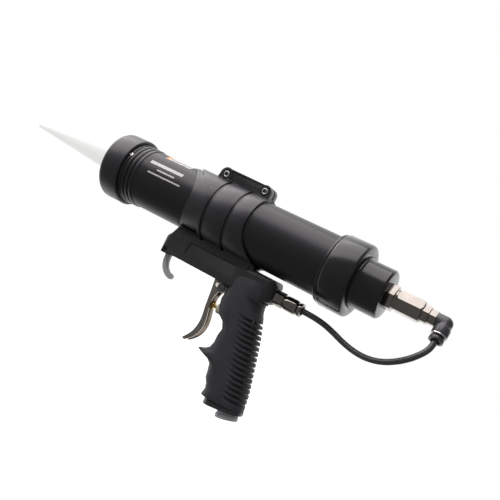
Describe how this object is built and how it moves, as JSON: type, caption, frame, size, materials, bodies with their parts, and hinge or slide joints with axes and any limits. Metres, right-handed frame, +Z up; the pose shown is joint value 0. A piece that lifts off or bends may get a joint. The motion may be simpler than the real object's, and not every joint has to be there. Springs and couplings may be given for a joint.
{
  "type": "caulking gun",
  "caption": "Pneumatic caulking gun with a tubular barrel, screw-on ends, clamped pistol grip, trigger valve, short air hose and a long tapered nozzle.",
  "frame": {"origin": "on the barrel's axis at the front face of the front cap", "axes": "+X along the barrel towards the nozzle's tip, +Y the gun's left side, +Z up, away from the grip"},
  "size_m": [0.4677, 0.065, 0.1993],
  "materials": {
    "white_plastic": "satin moulded",
    "rubber": "matte",
    "coated_metal": "satin black coating",
    "dark_steel": "black oxide",
    "anodised": "satin black anodised",
    "label": "smooth, blank",
    "brass": "turned",
    "nickel": "bright nickel plate",
    "spring_steel": "drawn wire",
    "black_plastic": "semi-gloss",
    "hose": "smooth extruded",
    "cast_black": "fine textured black",
    "grey_metal": "satin grey",
    "ivory_plastic": "moulded",
    "grip": "soft matte"
  },
  "bodies": {
    "gun": {"nozzle": "white_plastic", "cartridge_tube": "white_plastic", "collar_set_screw": "spring_steel", "barrel": "anodised", "blank_label": "label", "clamp_left": "coated_metal", "clamp_right": "coated_metal", "clamp_screws": "dark_steel", "clamp_nuts": "dark_steel", "end_plug": "anodised", "plug_o_ring": "rubber", "cartridge_seal": "rubber", "hex_reducer": "nickel", "check_valve_body": "nickel", "check_spring": "spring_steel", "check_valve_cap": "nickel", "elbow_stud": "nickel", "elbow_body": "black_plastic", "elbow_clamp_ring": "nickel", "elbow_grab_ring": "spring_steel", "elbow_o_ring": "rubber", "air_hose": "hose", "handle_fitting": "nickel", "fitting_o_ring": "rubber", "fitting_grab_ring": "spring_steel", "gun_body": "cast_black", "body_screws": "dark_steel", "finger_hook": "grey_metal", "hook_screw": "dark_steel", "trigger_pin": "dark_steel", "pin_clip": "spring_steel", "gland_nut": "ivory_plastic", "stem_seal": "rubber", "valve_seat": "brass", "valve_spring": "spring_steel", "grip_sleeve": "grip", "grip_base": "black_plastic", "base_screws": "dark_steel", "inlet_bushing": "anodised", "bushing_seal": "rubber"},
    "cap_thrust": {"cap_washer": "rubber"},
    "front_cap": {"front_cap": "coated_metal"},
    "ring_thrust": {"ring_washer": "rubber"},
    "ring_nut": {"ring_nut": "anodised"},
    "plunger": {"cartridge_plunger": "white_plastic", "plunger_wiper": "rubber"},
    "trigger": {"trigger": "nickel"},
    "valve_stem": {"valve_stem": "brass", "valve_poppet": "rubber"},
    "check_poppet": {"check_poppet": "brass"},
    "elbow_collar": {"elbow_collar": "black_plastic"},
    "fitting_collar": {"fitting_collar": "nickel"}
  },
  "joints": [
    {"name": "cap_travel", "type": "slide", "parent": "gun", "child": "cap_thrust", "axis": [1, 0, 0], "range_m": [0, 0.0081]},
    {"name": "cap_turn", "type": "hinge", "parent": "cap_thrust", "child": "front_cap", "pos_m": [0, 0, 0], "axis": [1, 0, 0], "range_deg": [0, 1440]},
    {"name": "ring_travel", "type": "slide", "parent": "gun", "child": "ring_thrust", "axis": [-1, 0, 0], "range_m": [0, 0.0081]},
    {"name": "ring_turn", "type": "hinge", "parent": "ring_thrust", "child": "ring_nut", "pos_m": [-0.255, 0, 0], "axis": [-1, 0, 0], "range_deg": [0, 1440]},
    {"name": "trigger_squeeze", "type": "hinge", "parent": "gun", "child": "trigger", "pos_m": [-0.1606, 0, -0.0583], "axis": [0, 1, 0], "range_deg": [0, 11.8], "stiffness_Nm_per_rad": 1, "springref_deg": -5.73},
    {"name": "stem_push", "type": "slide", "parent": "gun", "child": "valve_stem", "axis": [-1, 0, 0], "range_m": [0, 0.0036], "deforming": ["valve_spring"]},
    {"name": "plunger_travel", "type": "slide", "parent": "gun", "child": "plunger", "axis": [1, 0, 0], "range_m": [0, 0.182]},
    {"name": "check_lift", "type": "slide", "parent": "gun", "child": "check_poppet", "axis": [1, 0, 0], "range_m": [0, 0.002], "stiffness_N_per_m": 100, "springref_m": -0.002, "deforming": ["check_spring"]},
    {"name": "elbow_collar_press", "type": "slide", "parent": "gun", "child": "elbow_collar", "axis": [0, -0.4226, 0.9063], "range_m": [0, 0.001], "stiffness_N_per_m": 500, "springref_m": -0.002},
    {"name": "fitting_collar_press", "type": "slide", "parent": "gun", "child": "fitting_collar", "axis": [1, 0, 0], "range_m": [0, 0.001], "stiffness_N_per_m": 500, "springref_m": -0.002}
  ],
  "couplings": [
    {"joint": "cap_travel", "follows": "cap_turn", "m_per_rad": 0.0003183},
    {"joint": "ring_travel", "follows": "ring_turn", "m_per_rad": 0.0003183},
    {"joint": "stem_push", "follows": "trigger_squeeze", "m_per_rad": 0.0172}
  ]
}
